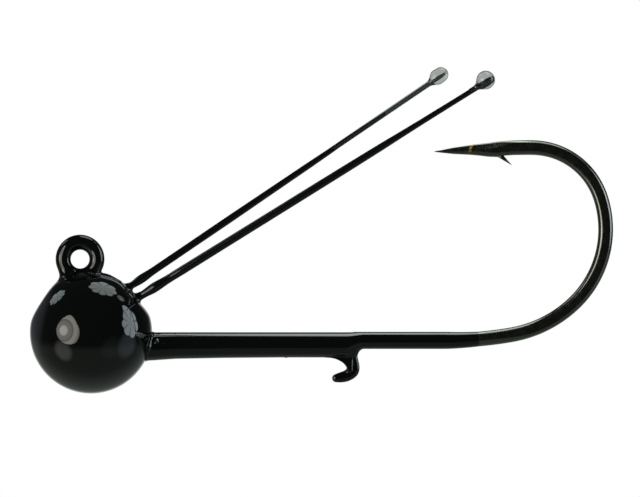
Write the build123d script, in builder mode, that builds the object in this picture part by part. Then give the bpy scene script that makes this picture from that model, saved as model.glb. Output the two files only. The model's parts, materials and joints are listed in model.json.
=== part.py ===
from build123d import *
from math import cos, hypot, pi, radians, sin, tan
import os

# Ball-head jig with a long bait hook and a pair of wire weed guards. Millimetres.
# The origin is the centre of the line-tie eye, +X runs along the shank to the bend, +Z is up to the hook point.

# ---------------------------------------------------------------- driving dimensions
# line-tie eye
eye_hole_r = 0.78
eye_wire_r = 0.66
eye_land_inset = 0.04          # the hole cuts this far into the ring's wire
eye_stand = 1.03               # the eye's centre lies this far over the ball

# hook
hook_wire_r = 0.625
shank_under = 0.67             # the shank's axis lies this far under the ball's centre
leg_turn_r = 2.50              # the hidden turn from the leg into the shank
bend_start = 30.80             # along X from the eye to where the shank begins to rise
bend_radii = (31.80, 10.10, 8.55, 6.05)
bend_turns = (9.90, 33.90, 65.10)      # degrees, the last arc takes what is left of the half turn
limb_length = 3.55             # straight wire from the bend to the foot of the point
point_length = 4.66
point_drop = 0.33              # the tip lies under the limb's axis
point_tip_r = 0.03
forged_half = 0.53             # half the thickness of the bend across its forged flats
forging_run_in = 2.60          # length over which each flat runs out
forging_back = 9.80            # from the outside of the bend back to where the flats start

# barb, from the foot of the point: distance back, and depth under the limb's axis
barb_toe = (-1.30, 0.46)
barb_front = (0.65, 0.83)
barb_tip = (1.80, 1.46)
barb_back = (1.08, 0.64)
barb_half = 0.20

# lead ball
ball_r = 5.13
ball_x = 0.92                  # the ball's centre lies this far behind the eye's
neck_fillet_r = 0.60
neck_half = 0.50
ridge_height = 0.05
ridge_half = 0.10
ridge_from = 50.0              # degrees round the ball from +X
ridge_to = 77.0

# bait collar and keeper
collar_r = 1.08
collar_wall = 0.065            # the least lead over the hook's wire, at its top
collar_flare = 0.12            # how far the collar flares out against the ball
collar_flare_length = 0.70
collar_end = 22.90             # along X from the eye
collar_taper = 0.90
keeper_set_back = 0.03         # the prong's neck lies this far behind the collar's end
keeper_neck_r = 0.56
keeper_tip_r = 0.38
keeper_turn_r = 1.15
keeper_reach = 1.70            # the collar's underside down to the axis of the prong's tip
keeper_tip_run = 0.28
keeper_web_r = 1.15
keeper_web_half = 0.42

# enamel on the shank
enamel_wall = 0.0975
enamel_feather = 3.00          # length that follows the start of the bend
enamel_edge = 0.030

# weed guards
guard_wire_r = 0.125
guard_splay = 6.0              # degrees to each side
guard_anchor_depth = 2.60      # wire inside the ball
guard_anchor_turn_r = 0.42
pivot_share = 0.15             # of the free length: where a cantilever wire seems to hinge
pivot_clearance = 0.02
guard_turn = 40.0              # degrees that a guard can be pushed down
boss_foot_r = 0.80
boss_height = 0.40
resin_lap = 0.30               # the resin runs this far past the wire's end
left_guard = {
    "side": -1,
    "exit": 36.6,              # degrees round the ball from +X
    "rise": 31.75,             # degrees up from +X
    "length": 34.30,           # ball to the middle of the resin drop
    "coat": ((0.0, 0.30), (1.4, 0.42), (2.7, 0.345), (21.0, 0.32), (26.0, 0.25), (30.6, 0.21)),
    "uncoated": 0.75,          # the coat stops this far short of the middle of the drop
    "drop_r": 0.80,
    "drop_half_length": 0.80,
    "drop_lift": 0.12,
    "tail_r": 0.26,
}
right_guard = {
    "side": 1,
    "exit": 49.5,
    "rise": 34.20,
    "length": 31.63,
    "coat": ((0.0, 0.27), (1.1, 0.375), (2.2, 0.30), (10.0, 0.30), (18.0, 0.255), (24.5, 0.20)),
    "uncoated": 5.63,
    "drop_r": 0.72,
    "drop_half_length": 0.82,
    "drop_lift": 0.06,
    "tail_r": 0.25,
}

os.makedirs("parts", exist_ok=True)

# ---------------------------------------------------------------- derived places
eye_ring_r = eye_hole_r + eye_wire_r - eye_land_inset
ball_z = -eye_stand - ball_r
shank_z = ball_z - shank_under
enamel_r = hook_wire_r + enamel_wall
enamel_start = collar_end + collar_taper
collar_z = shank_z + hook_wire_r + collar_wall - collar_r
collar_flare_r = collar_r + collar_flare
keeper_x = collar_end + keeper_set_back
keeper_z = collar_z - collar_r - keeper_reach
last_turn = 180.0 - sum(bend_turns)


def save(part, name):
    """Label a finished piece and write it to its own file."""
    part.label = name
    export_step(part, f"parts/{name}.step")


# ---------------------------------------------------------------- hook
with BuildLine(Plane.XZ) as hook_line:
    leg = Line((0, -eye_ring_r), (0, shank_z + leg_turn_r))
    turn = JernArc(leg @ 1, leg % 1, leg_turn_r, 90)
    shank = Line(turn @ 1, (bend_start, shank_z))
    bend_end = shank
    for radius, angle in zip(bend_radii, (*bend_turns, last_turn)):
        bend_end = JernArc(bend_end @ 1, bend_end % 1, radius, angle)
    limb = Line(bend_end @ 1, (bend_end @ 1) + (bend_end % 1) * limb_length)

bend_out = hook_line.line.bounding_box().max.X
point_foot = limb @ 1
point_dir = Vector(-1, 0, 0)


def from_point(back, under):
    """A place in the hook's plane, given from the foot of the point."""
    return (point_foot.X + back, point_foot.Z - under)


with BuildPart() as hook:
    with BuildSketch(Plane.XY.offset(-eye_ring_r)):
        Circle(hook_wire_r)
    sweep(path=hook_line.line)
    with BuildSketch(Plane(point_foot, x_dir=(0, 1, 0), z_dir=point_dir)):
        Circle(hook_wire_r)
    tip_centre = point_foot + point_dir * point_length - Vector(0, 0, point_drop)
    with BuildSketch(Plane(tip_centre, x_dir=(0, 1, 0), z_dir=point_dir)):
        Circle(point_tip_r)
    loft()
    with BuildSketch(Plane.XZ):
        with BuildLine():
            Polyline(
                from_point(*barb_toe),
                from_point(*barb_front),
                from_point(*barb_tip),
                from_point(*barb_back),
                from_point(barb_back[0], 0),
                from_point(0, 0),
                close=True,
            )
        make_face()
    extrude(amount=barb_half, both=True)
    # forging dies press the bend and the limb flat on both sides
    for side in (-1, 1):
        with BuildSketch(Plane.XY.offset(shank_z - leg_turn_r)):
            with BuildLine():
                Polyline(
                    (bend_out - forging_back, side * (hook_wire_r + enamel_wall)),
                    (bend_out - forging_back + forging_run_in, side * forged_half),
                    (bend_out + leg_turn_r, side * forged_half),
                    (bend_out + leg_turn_r, side * 2 * leg_turn_r),
                    (bend_out - forging_back, side * 2 * leg_turn_r),
                    close=True,
                )
            make_face()
        extrude(amount=-2 * shank_z + 3 * leg_turn_r + point_foot.Z, mode=Mode.SUBTRACT)
    # the eye is closed last, so the forging leaves it round
    with BuildSketch(Plane.XY):
        with Locations((eye_ring_r, 0)):
            Circle(eye_wire_r)
    revolve(axis=Axis.Y)
    with BuildSketch(Plane.XZ):
        Circle(eye_hole_r)
    extrude(amount=eye_ring_r, both=True, mode=Mode.SUBTRACT)
save(hook.part, "hook")


# ---------------------------------------------------------------- guard wire layout
def guard_plane(guard):
    """Local X runs out along the wire from where it leaves the ball, local Y is up in the side view."""
    angle = radians(guard["exit"])
    out = (ball_x + ball_r * cos(angle), 0, ball_z + ball_r * sin(angle))
    rise, splay = radians(guard["rise"]), radians(guard_splay)
    along = Vector(cos(splay) * cos(rise), guard["side"] * sin(splay), cos(splay) * sin(rise))
    across = along.cross(Vector(-sin(rise), 0, cos(rise)))
    return Plane(out, x_dir=along, z_dir=across)


def coat_radius(guard, along):
    """Outer radius of a guard's coat at a distance from the ball."""
    coat = guard["coat"]
    for (near, near_r), (far, far_r) in zip(coat, coat[1:]):
        if along <= far or far == coat[-1][0]:
            return near_r + (far_r - near_r) * (along - near) / (far - near)


def coat_outline(guard, start, end):
    """The coat's radius at its ends and at each change of taper between them."""
    between = [point for point in guard["coat"] if start < point[0] < end]
    return [(start, coat_radius(guard, start)), *between, (end, coat_radius(guard, end))]


def half_section(plane, outline):
    """Half of a turned shape, given as distances along the wire and radii."""
    with BuildSketch(plane) as section:
        with BuildLine():
            Polyline((outline[0][0], 0), *outline, (outline[-1][0], 0), close=True)
        make_face()
    return section.sketch


def wire_axis(plane):
    """The line that a guard's wire runs along."""
    return Axis(plane.origin, plane.x_dir)


def pivot_of(guard):
    """Distance along the wire to its hinge."""
    return pivot_share * guard["length"]


def fixed_end_of(guard):
    """Distance along the wire to the rim of its fixed end, which clears the moving coat at full turn."""
    return pivot_of(guard) - coat_radius(guard, pivot_of(guard)) * tan(radians(guard_turn / 2))


left_plane = guard_plane(left_guard)
right_plane = guard_plane(right_guard)

# ---------------------------------------------------------------- fixed ends of the guards
# one hairpin of spring wire, cast into the ball, whose two legs stand out of it
with BuildLine() as hairpin_line:
    FilletPolyline(
        left_plane.from_local_coords((pivot_of(left_guard), 0)),
        left_plane.from_local_coords((-guard_anchor_depth, 0)),
        right_plane.from_local_coords((-guard_anchor_depth, 0)),
        right_plane.from_local_coords((pivot_of(right_guard), 0)),
        radius=guard_anchor_turn_r,
    )


def cut_socket(plane, guard):
    """Hollow the fixed end so that the moving end can turn in it."""
    along = pivot_of(guard)
    centre = plane.from_local_coords((along, 0))
    with Locations(centre):
        Sphere(coat_radius(guard, along) + pivot_clearance, mode=Mode.SUBTRACT)


with BuildPart() as guard_wire_anchor:
    with BuildSketch(Plane(hairpin_line.line @ 0, z_dir=hairpin_line.line % 0)):
        Circle(guard_wire_r)
    sweep(path=hairpin_line.line)
    cut_socket(left_plane, left_guard)
    cut_socket(right_plane, right_guard)
save(guard_wire_anchor.part, "guard_wire_anchor")

# ---------------------------------------------------------------- lead ball
neck_reach = eye_ring_r + eye_wire_r + neck_fillet_r
ball_reach = ball_r + neck_fillet_r
eye_to_ball = hypot(ball_x, ball_z)
along_line = (neck_reach**2 - ball_reach**2 + eye_to_ball**2) / (2 * eye_to_ball)
off_line = (neck_reach**2 - along_line**2) ** 0.5
line_x, line_z = ball_x / eye_to_ball, ball_z / eye_to_ball
fillet_centre = Vector(line_x * along_line + line_z * off_line, line_z * along_line - line_x * off_line)
eye_touch = fillet_centre * ((neck_reach - neck_fillet_r) / neck_reach)
ball_centre = Vector(ball_x, ball_z)
ball_touch = fillet_centre + (ball_centre - fillet_centre) * (neck_fillet_r / ball_reach)
fillet_middle = fillet_centre + ((eye_touch + ball_touch) / 2 - fillet_centre).normalized() * neck_fillet_r

with BuildPart() as ball_head:
    with Locations((ball_x, 0, ball_z)):
        Sphere(ball_r)
    # fillet of lead between the eye and the front of the ball
    with BuildSketch(Plane.XZ):
        with BuildLine():
            ThreePointArc(eye_touch, fillet_middle, ball_touch)
            Polyline(
                ball_touch,
                (ball_touch + ball_centre) / 2,
                (0, -eye_ring_r - eye_wire_r),
                (0, -eye_ring_r),
                eye_touch * (eye_ring_r / (eye_ring_r + eye_wire_r)),
                eye_touch,
            )
        make_face()
    extrude(amount=neck_half, both=True)
    # ridge that the mould's parting line leaves between the eye and the guards
    with BuildSketch(Plane.XZ):
        with BuildLine():
            ridge = CenterArc((ball_x, ball_z), ball_r + ridge_height, ridge_from, ridge_to - ridge_from)
            Polyline(ridge @ 1, (ball_x, ball_z), ridge @ 0)
        make_face()
    extrude(amount=ridge_half, both=True)
    for plane, guard in ((left_plane, left_guard), (right_plane, right_guard)):
        boss_top_r = coat_radius(guard, 0)
        boss = [(-boss_height, boss_foot_r), (0, boss_foot_r), (boss_height, boss_top_r)]
        revolve(half_section(plane, boss), axis=wire_axis(plane))
    add(hook.part, mode=Mode.SUBTRACT)
    add(guard_wire_anchor.part, mode=Mode.SUBTRACT)
save(ball_head.part, "ball_head")

# ---------------------------------------------------------------- bait collar with its keeper
with BuildPart() as bait_collar:
    with BuildSketch(Plane.YZ.offset(ball_x)):
        with Locations((0, collar_z)):
            Circle(collar_r)
    extrude(amount=collar_end - ball_x)
    flare_x = ball_x + (ball_r**2 - collar_flare_r**2) ** 0.5
    with BuildSketch(Plane.YZ.offset(flare_x - collar_flare_length)):
        with Locations((0, collar_z)):
            Circle(collar_flare_r)
    extrude(amount=collar_flare_length)
    with BuildSketch(Plane.YZ.offset(flare_x)):
        with Locations((0, collar_z)):
            Circle(collar_flare_r)
    with BuildSketch(Plane.YZ.offset(flare_x + collar_flare_length)):
        with Locations((0, collar_z)):
            Circle(collar_r)
    loft()
    # the end runs out to the enamelled wire
    with BuildSketch(Plane.YZ.offset(collar_end)):
        with Locations((0, collar_z)):
            Circle(collar_r)
    with BuildSketch(Plane.YZ.offset(enamel_start)):
        with Locations((0, shank_z)):
            Circle(enamel_r)
    loft()
    # prong that points forward under the collar's end
    with BuildLine(Plane.XZ) as keeper_line:
        neck = Line((keeper_x, collar_z), (keeper_x, keeper_z + keeper_turn_r))
        curl = JernArc(neck @ 1, neck % 1, keeper_turn_r, -90)
        Line(curl @ 1, (curl @ 1) + (curl % 1) * keeper_tip_run)
    with BuildSketch(Plane(keeper_line.line @ 0, z_dir=keeper_line.line % 0)):
        Circle(keeper_neck_r)
    with BuildSketch(Plane(keeper_line.line @ 1, z_dir=keeper_line.line % 1)):
        Circle(keeper_tip_r)
    sweep(path=keeper_line.line, multisection=True)
    with Locations(keeper_line.line @ 1):
        Sphere(keeper_tip_r)
    # web between the collar's underside and the prong's neck
    web_x = keeper_x - keeper_neck_r - keeper_web_r
    with BuildSketch(Plane.XZ):
        with BuildLine():
            web_arc = JernArc((web_x, collar_z - collar_r), (1, 0), keeper_web_r, -90)
            Polyline(
                web_arc @ 1,
                (keeper_x, (web_arc @ 1).Y),
                (keeper_x, collar_z),
                (web_x, collar_z),
                web_arc @ 0,
            )
        make_face()
    extrude(amount=keeper_web_half, both=True)
    with Locations((ball_x, 0, ball_z)):
        Sphere(ball_r, mode=Mode.SUBTRACT)
    add(hook.part, mode=Mode.SUBTRACT)
save(bait_collar.part, "bait_collar")

# ---------------------------------------------------------------- enamel on the shank
feather_turn = enamel_feather / bend_radii[0] * 180 / pi
with BuildPart() as shank_enamel:
    with BuildSketch(Plane.YZ.offset(enamel_start)):
        with Locations((0, shank_z)):
            Circle(enamel_r)
    extrude(amount=bend_start - enamel_start)
    with BuildLine(Plane.XZ) as feather_line:
        JernArc((bend_start, shank_z), (1, 0), bend_radii[0], feather_turn)
    with BuildSketch(Plane(feather_line.line @ 0, z_dir=feather_line.line % 0)):
        Circle(enamel_r)
    with BuildSketch(Plane(feather_line.line @ 1, z_dir=feather_line.line % 1)):
        Circle(hook_wire_r + enamel_edge)
    sweep(path=feather_line.line, multisection=True)
    add(hook.part, mode=Mode.SUBTRACT)
save(shank_enamel.part, "shank_enamel")

# ---------------------------------------------------------------- guards
for name, plane, guard in (("left", left_plane, left_guard), ("right", right_plane, right_guard)):
    pivot = pivot_of(guard)
    axis = wire_axis(plane)
    wire_end = guard["length"] + guard["drop_half_length"] - resin_lap
    coat_end = guard["length"] - guard["uncoated"]

    with BuildPart() as sleeve_root:
        revolve(half_section(plane, coat_outline(guard, 0, fixed_end_of(guard))), axis=axis)
        cut_socket(plane, guard)
        add(guard_wire_anchor.part, mode=Mode.SUBTRACT)
        add(ball_head.part, mode=Mode.SUBTRACT)
    save(sleeve_root.part, f"{name}_guard_sleeve_root")

    with BuildPart() as wire:
        revolve(half_section(plane, [(pivot, guard_wire_r), (wire_end, guard_wire_r)]), axis=axis)
    save(wire.part, f"{name}_guard_wire")

    with BuildPart() as sleeve:
        revolve(half_section(plane, coat_outline(guard, pivot, coat_end)), axis=axis)
        with Locations(plane.from_local_coords((pivot, 0))):
            Sphere(coat_radius(guard, pivot))
        add(wire.part, mode=Mode.SUBTRACT)
    save(sleeve.part, f"{name}_guard_sleeve")

    with BuildPart() as tip:
        with BuildSketch(plane):
            with Locations((guard["length"], guard["drop_lift"])):
                Ellipse(guard["drop_half_length"], guard["drop_r"])
            split(bisect_by=Plane((0, guard["drop_lift"]), z_dir=(0, 1, 0)))
        revolve(axis=Axis(plane.from_local_coords((0, guard["drop_lift"])), plane.x_dir))
        tail = [(coat_end, guard["tail_r"]), (guard["length"], guard["tail_r"])]
        revolve(half_section(plane, tail), axis=axis)
        add(wire.part, mode=Mode.SUBTRACT)
        add(sleeve.part, mode=Mode.SUBTRACT)
    save(tip.part, f"{name}_guard_tip")
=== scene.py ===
import json
from math import ceil, cos, pi, radians, sin, sqrt, tan

import bmesh
import bpy
import numpy as np
from bpy.props import FloatProperty, PointerProperty, StringProperty
from mathutils import Matrix, Vector


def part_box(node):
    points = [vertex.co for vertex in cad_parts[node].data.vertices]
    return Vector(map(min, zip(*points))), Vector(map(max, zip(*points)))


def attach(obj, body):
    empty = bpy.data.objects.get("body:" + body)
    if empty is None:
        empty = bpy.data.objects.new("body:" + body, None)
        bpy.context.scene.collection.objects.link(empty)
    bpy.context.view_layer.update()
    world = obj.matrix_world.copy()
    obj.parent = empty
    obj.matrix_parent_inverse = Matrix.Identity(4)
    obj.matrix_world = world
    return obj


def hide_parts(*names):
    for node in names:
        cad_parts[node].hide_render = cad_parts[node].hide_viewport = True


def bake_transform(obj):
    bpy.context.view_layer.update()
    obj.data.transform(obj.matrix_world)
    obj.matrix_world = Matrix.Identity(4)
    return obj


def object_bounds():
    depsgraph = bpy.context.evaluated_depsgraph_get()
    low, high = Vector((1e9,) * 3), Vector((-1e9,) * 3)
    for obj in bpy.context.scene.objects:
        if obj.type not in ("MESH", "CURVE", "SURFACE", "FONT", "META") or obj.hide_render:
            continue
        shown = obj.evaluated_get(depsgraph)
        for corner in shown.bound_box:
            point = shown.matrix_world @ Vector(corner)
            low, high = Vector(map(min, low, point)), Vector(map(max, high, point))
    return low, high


# Looks of a ball-head jig: baked enamel on the lead, a plated hook, two dipped guard wires and their resin drops.
# Shapes are worked out in millimetres in the CAD frame, and each finished mesh is scaled to metres.

bl_info = {
    "name": "Ball-head jig",
    "version": (1, 0, 0),
    "blender": (4, 5, 0),
    "location": "3D View > Sidebar > Jig",
    "description": "Builds the enamel, hook, weed guards and studio of a ball-head jig round its CAD frame",
    "category": "Object",
}

MM = 0.001
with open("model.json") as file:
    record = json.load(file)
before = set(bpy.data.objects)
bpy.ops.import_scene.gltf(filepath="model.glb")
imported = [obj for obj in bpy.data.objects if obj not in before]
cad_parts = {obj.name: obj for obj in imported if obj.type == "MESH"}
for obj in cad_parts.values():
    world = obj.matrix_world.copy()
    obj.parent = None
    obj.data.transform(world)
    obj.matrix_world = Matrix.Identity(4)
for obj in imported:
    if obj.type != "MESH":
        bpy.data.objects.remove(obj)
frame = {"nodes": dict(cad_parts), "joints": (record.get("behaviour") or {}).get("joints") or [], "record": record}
CAD_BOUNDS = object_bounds()


# -------- places taken from the frame
def box_mm(node):
    """Lowest and highest corner of a CAD node, in millimetres."""
    low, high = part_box(node)
    return np.array(low) / MM, np.array(high) / MM


def named(rows, name):
    """The row of that name in a list from the record."""
    return next(row for row in rows if row["name"] == name)


def middle_mm(node):
    """The middle of a CAD node's box, in millimetres."""
    low, high = box_mm(node)
    return (low + high) / 2


ball_low, ball_high = box_mm("ball_head")
BALL_R = (ball_high[1] - ball_low[1]) / 2
BALL_CENTRE = np.array((ball_low[0] + BALL_R, 0.0, ball_low[2] + BALL_R))
enamel_low, enamel_high = box_mm("shank_enamel")
ENAMEL_R = (enamel_high[1] - enamel_low[1]) / 2
SHANK_Z = enamel_low[2] + ENAMEL_R
ENAMEL_START, ENAMEL_END = enamel_low[0], enamel_high[0]
bait_seat = named(frame["record"]["mounts"], "bait_seat")
COLLAR_R = bait_seat["dims"]["r_mm"]
COLLAR_Z = bait_seat["pos_m"][2] / MM
SIDES = ("left", "right")

# -------- shapes that don't follow from the frame
# the ball is not quite round: filed flats where the pouring gate and the parting seam were, as
# (degrees round the ball from +X, depth of the flat from the ball's centre)
FLATS = ((44.0, 4.66), (75.0, 4.8), (147.0, 4.915))
FLAT_EDGE = 0.3  # easing of a flat's edge
# the fin that the mould's parting line left between the eye and the guards: degrees round the ball, radii
FIN = (
    (30.0, 34.0, 40.0, 46.0, 51.9, 53.4, 55.3, 56.8, 59.9, 64.3, 68.3, 72.2, 76.1, 81.0, 90.0),
    (4.4, 4.74, 4.82, 4.87, 5.03, 5.02, 4.9, 4.88, 4.99, 5.01, 5.06, 5.11, 5.12, 5.09, 4.8),
)
FIN_HALF = 0.15
FIN_FOOT = 4.4  # where the fin ends, inside the ball
FIN_FILLETS = (0.1, 0.35)  # of the fin's edge, and of its foot on the ball
# fillet of the eye on the ball, at X: wide before the eye and tight behind it
EYE_FILLET = ((-1.3, -0.6, 0.9), (1.0, 0.45, 0.25))
# the prong's spine as X, Z and radius
KEEPER = (
    (22.84, -7.8, 0.44),
    (22.88, -8.25, 0.44),
    (22.93, -8.65, 0.48),
    (22.97, -9.08, 0.52),
    (22.86, -9.46, 0.53),
    (22.44, -9.78, 0.49),
    (21.96, -9.92, 0.45),
    (21.52, -10.0, 0.36),
)
# the web between the prong and the collar, hollowed by an ellipse in X and Z
WEB_CENTRE = (20.6, -9.41)
WEB_REACH = (1.85, 1.15)
WEB_HALF = 0.42
KEEPER_HALF = 0.43
COLLAR_SPAN = (BALL_CENTRE[0] + 3.2, 24.4)  # from inside the ball to where it has run out on the shank
COLLAR_TAPER = (22.3, 23.9)
# how far the enamel hangs under the collar, at X: thickest by the ball
DROOP = ((5.5, 6.2, 8.0, 12.0, 17.0, 22.0), (0.125, 0.105, 0.042, 0.004, -0.016, -0.016))
PIT, PIT_R = (18.65, -0.86, -7.88), 0.1
NIB, NIB_R = (17.3, -0.1, -8.27), 0.06
DRIP, DRIP_R = (6.46, -1.05, -6.93), 0.19
BEAD_R = 0.13
PRONG_FILLET, WEB_FILLET, PRONG_ROUNDING, BEAD_FILLET, FILM_FILLET = 0.55, 0.1, 0.5, 0.12, 0.1
# the hook's bend as radius and degrees, after a straight shank
BEND_START = 30.795
BEND = ((31.8, 9.9), (10.1, 33.9), (8.55, 65.1), (6.05, 71.1))
BEND_EASE = 1.6  # length over which one arc turns into the next
LIMB = 3.55
POINT = 4.66
WIRE_STEP = 0.1
HOOK_START = 21.995
FORGED_FROM = 9.2  # the forged flats start this far before the bend's outermost point
FORGED_EASE = 3.0
WHETTED = (7.2, 1.8)  # from the tip: where the point's two upper flats start, and over what length
WHETTED_WAY = (0.8, 0.6)  # which way those flats face: to the side, and down
NO_PRESS = 1.05  # depth in radii at which a die misses the wire
ENAMEL_LAP = 0.9  # how far the shank's enamel starts inside the collar
# the point, from its tip: distance, drop of its middle under the limb's axis, half height, half width
POINT_SHAPE = (
    (0.0, 0.333, 0.02, 0.02),
    (0.12, 0.333, 0.048, 0.046),
    (0.58, 0.325, 0.115, 0.105),
    (1.54, 0.275, 0.265, 0.235),
    (3.15, 0.193, 0.433, 0.39),
    (3.8, 0.19, 0.5, 0.45),
    (4.56, 0.192, 0.59, 0.51),
    (5.3, 0.15, 0.655, 0.54),
    (5.85, 0.07, 0.62, 0.56),
    (6.6, 0.02, 0.62, 0.59),
    (7.6, 0.0, 0.625, 0.625),
)
BARB_ROOT = (4.95, 0.2, 0.34)  # distance from the tip, depth under the limb's axis, radius
BARB_TIP = (6.49, 1.47)
BARB_THIN = 0.62  # its width over its height
PLATING_RING = (2.97, 0.28)  # distance from the tip, depth where it is read
RING_LEAN = 0.33  # how far it leans back for its rise
# weed guards: outer radius of the dipped coat at distances from the ball
COATS = {
    "left": (
        (-1.2, 0.285), (0.0, 0.32), (0.5, 0.333), (0.8, 0.372), (1.1, 0.415), (1.5, 0.43), (2.0, 0.398),
        (2.5, 0.362), (3.0, 0.352), (4.0, 0.366), (6.0, 0.362), (8.0, 0.356), (12.0, 0.35), (18.0, 0.34),
        (21.0, 0.328), (24.0, 0.304), (26.0, 0.264), (28.0, 0.24), (31.0, 0.226), (34.0, 0.222),
        (34.6, 0.21), (34.78, 0.15),
    ),
    "right": (
        (-1.2, 0.265), (0.0, 0.277), (0.4, 0.313), (0.8, 0.367), (1.1, 0.385), (1.5, 0.361), (2.0, 0.322),
        (2.5, 0.312), (4.0, 0.314), (6.0, 0.308), (8.0, 0.312), (10.0, 0.312), (12.0, 0.3), (15.0, 0.281),
        (18.0, 0.266), (20.5, 0.234), (21.5, 0.195), (23.0, 0.155), (25.0, 0.133), (26.0, 0.127),
    ),
}
ROOT_FLARE = 0.52  # radius of a guard's root inside the ball
ROOT_REACH = (0.9, 0.3)  # how far the root goes into the ball and out of it
ROOT_FILLET = 0.3
# resin drops: radius, half of how far it is drawn out, and the length and radius of the run behind it
# (no radius means the clear sleeve's)
DROPS = {"left": (0.785, 0.0, 1.6, 0.245), "right": (0.665, 0.17, 11.6, None)}
DROP_FILLET, WIRE_IN_DROP = 0.42, 0.5
COAT_LOW = {"left": -0.03, "right": -0.015}  # how far each coat is dropped on its wire
SPRING_R = 0.125
SPRING_LOW = 0.015
HEAD_VOXEL, VOXEL = 0.07, 0.1  # size of the faces on the ball, and on the other skins


# -------- small helpers
def linear(colour, level=1.0):
    """An sRGB hex colour as linear red, green, blue and a full alpha, with its light brought to a level."""
    parts = [int(colour[i : i + 2], 16) / 255 for i in (1, 3, 5)]
    parts = [c / 12.92 if c <= 0.04045 else ((c + 0.055) / 1.055) ** 2.4 for c in parts]
    return (*(c * level for c in parts), 1.0)


SMOOTH = {"interpolation_type": "SMOOTHSTEP"}


def add_node(tree, kind, settings=None, inputs=None):
    """Add a shader node. Its inputs go by name, or in the order of its sockets. Sockets given as inputs, and
    nodes for their first output, are linked, and anything else is set."""
    made = tree.nodes.new("ShaderNode" + kind)
    for name, value in (settings or {}).items():
        setattr(made, name, value)
    by_name = inputs if isinstance(inputs, dict) else dict(enumerate(inputs or ()))
    for name, value in by_name.items():
        if isinstance(value, bpy.types.Node):
            value = value.outputs[0]
        if isinstance(value, bpy.types.NodeSocket):
            tree.links.new(value, made.inputs[name])
        else:
            made.inputs[name].default_value = value
    return made


def new_material(name):
    """An empty node material and its tree."""
    material = bpy.data.materials.new(name)
    material.use_nodes = True
    material.node_tree.nodes.clear()
    return material, material.node_tree


def finish_material(material, shader):
    """Link a shader to its material's output."""
    add_node(material.node_tree, "OutputMaterial", inputs={"Surface": shader})
    return material


def put(name, data):
    """Put a mesh, lamp or camera into the scene as an object."""
    made = bpy.data.objects.new(name, data)
    bpy.context.scene.collection.objects.link(made)
    return made


def new_piece(mesh, name, material):
    """Put a finished mesh, already in metres, into the scene."""
    if not mesh.polygons:
        raise RuntimeError(f"{name} came out with no faces")
    mesh.name = name
    mesh.materials.clear()
    mesh.materials.append(material)
    mesh.polygons.foreach_set("use_smooth", [True] * len(mesh.polygons))
    return put(name, mesh)


def mesh_from(bm, name):
    """A mesh in metres from a bmesh in millimetres."""
    mesh = bpy.data.meshes.new(name)
    bm.to_mesh(mesh)
    bm.free()
    mesh.transform(Matrix.Scale(MM, 4))
    return mesh


def clamped(value):
    """A number held between 0 and 1."""
    return min(max(value, 0.0), 1.0)


def facing(way):
    """The turn that points an object's Z along a direction."""
    return Vector(way).to_track_quat("Z", "Y").to_matrix().to_4x4()


# -------- skins: smooth shapes given by distance
def join(a, b, fillet):
    """Two shapes as one, with a fillet between them."""
    near = np.clip(fillet - np.abs(a - b), 0, None) / fillet
    return np.minimum(a, b) - near * near * fillet / 4


def trim(a, b, fillet):
    """What lies inside both shapes, with its edge eased."""
    return -join(-a, -b, fillet)


def bar(p, start, end, start_r, end_r):
    """Distance to a round-ended bar that tapers from one radius to another."""
    start, run = np.array(start, float), np.array(end, float) - np.array(start, float)
    share = np.clip(((p - start) @ run) / max(run @ run, 1e-9), 0, 1)
    return np.linalg.norm(p - start - share[:, None] * run, axis=1) - start_r - (end_r - start_r) * share


def curve_through(rows, between=4):
    """A smooth curve (Catmull-Rom) through rows of numbers, with some more rows between each pair."""
    rows = np.array(rows)
    padded = np.vstack((2 * rows[0] - rows[1], rows, 2 * rows[-1] - rows[-2]))
    curve = []
    for a, b, c, d in zip(padded, padded[1:], padded[2:], padded[3:]):
        for t in np.arange(between) / between:
            square, cube = a - 2.5 * b + 2 * c - d / 2, (d - a) / 2 + 1.5 * (b - c)
            curve.append(b + (c - a) * t / 2 + square * t**2 + cube * t**3)
    return [*curve, rows[-1]]


def slope_of(skin, p, reach=0.002):
    """The direction in which a skin's distance grows fastest, and how fast."""
    sides = []
    for axis in range(3):
        offset = np.zeros(3)
        offset[axis] = reach
        sides.append((skin(p + offset) - skin(p - offset)) / (2 * reach))
    return np.stack(sides, axis=1)


def settle(p, skin, steps=4, longest=0.2):
    """Move points along the slope until they lie on the skin."""
    for _ in range(steps):
        slope = slope_of(skin, p)
        move = skin(p) / np.maximum((slope**2).sum(1), 0.2)
        p = p - slope * np.clip(move, -longest, longest)[:, None]
    return p


def skin_mesh(bm, name, skin, voxel, passes=3):
    """Fuse rough shapes into one even mesh, and draw its points onto the skin."""
    rough = bpy.data.meshes.new(name)
    bm.to_mesh(rough)
    bm.free()
    holder = put(name, rough)
    fuse = holder.modifiers.new("fuse", "REMESH")
    fuse.mode = "VOXEL"
    fuse.voxel_size = voxel
    fused = bpy.data.meshes.new_from_object(holder.evaluated_get(bpy.context.evaluated_depsgraph_get()))
    bpy.data.objects.remove(holder)
    bpy.data.meshes.remove(rough)
    bm = bmesh.new()
    bm.from_mesh(fused)
    for _ in range(passes):
        bmesh.ops.smooth_vert(bm, verts=bm.verts, factor=0.5, use_axis_x=True, use_axis_y=True, use_axis_z=True)
        p = settle(np.array([v.co for v in bm.verts]), skin)
        for vert, place in zip(bm.verts, p):
            vert.co = place
    bm.to_mesh(fused)
    bm.free()
    slope = slope_of(skin, p, 0.06)
    fused.transform(Matrix.Scale(MM, 4))
    fused.polygons.foreach_set("use_smooth", [True] * len(fused.polygons))
    fused.normals_split_custom_set_from_vertices(slope / np.linalg.norm(slope, axis=1)[:, None])
    return fused


# -------- lofts: rings carried along a line
ACROSS = Vector((0, 1, 0))


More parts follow.
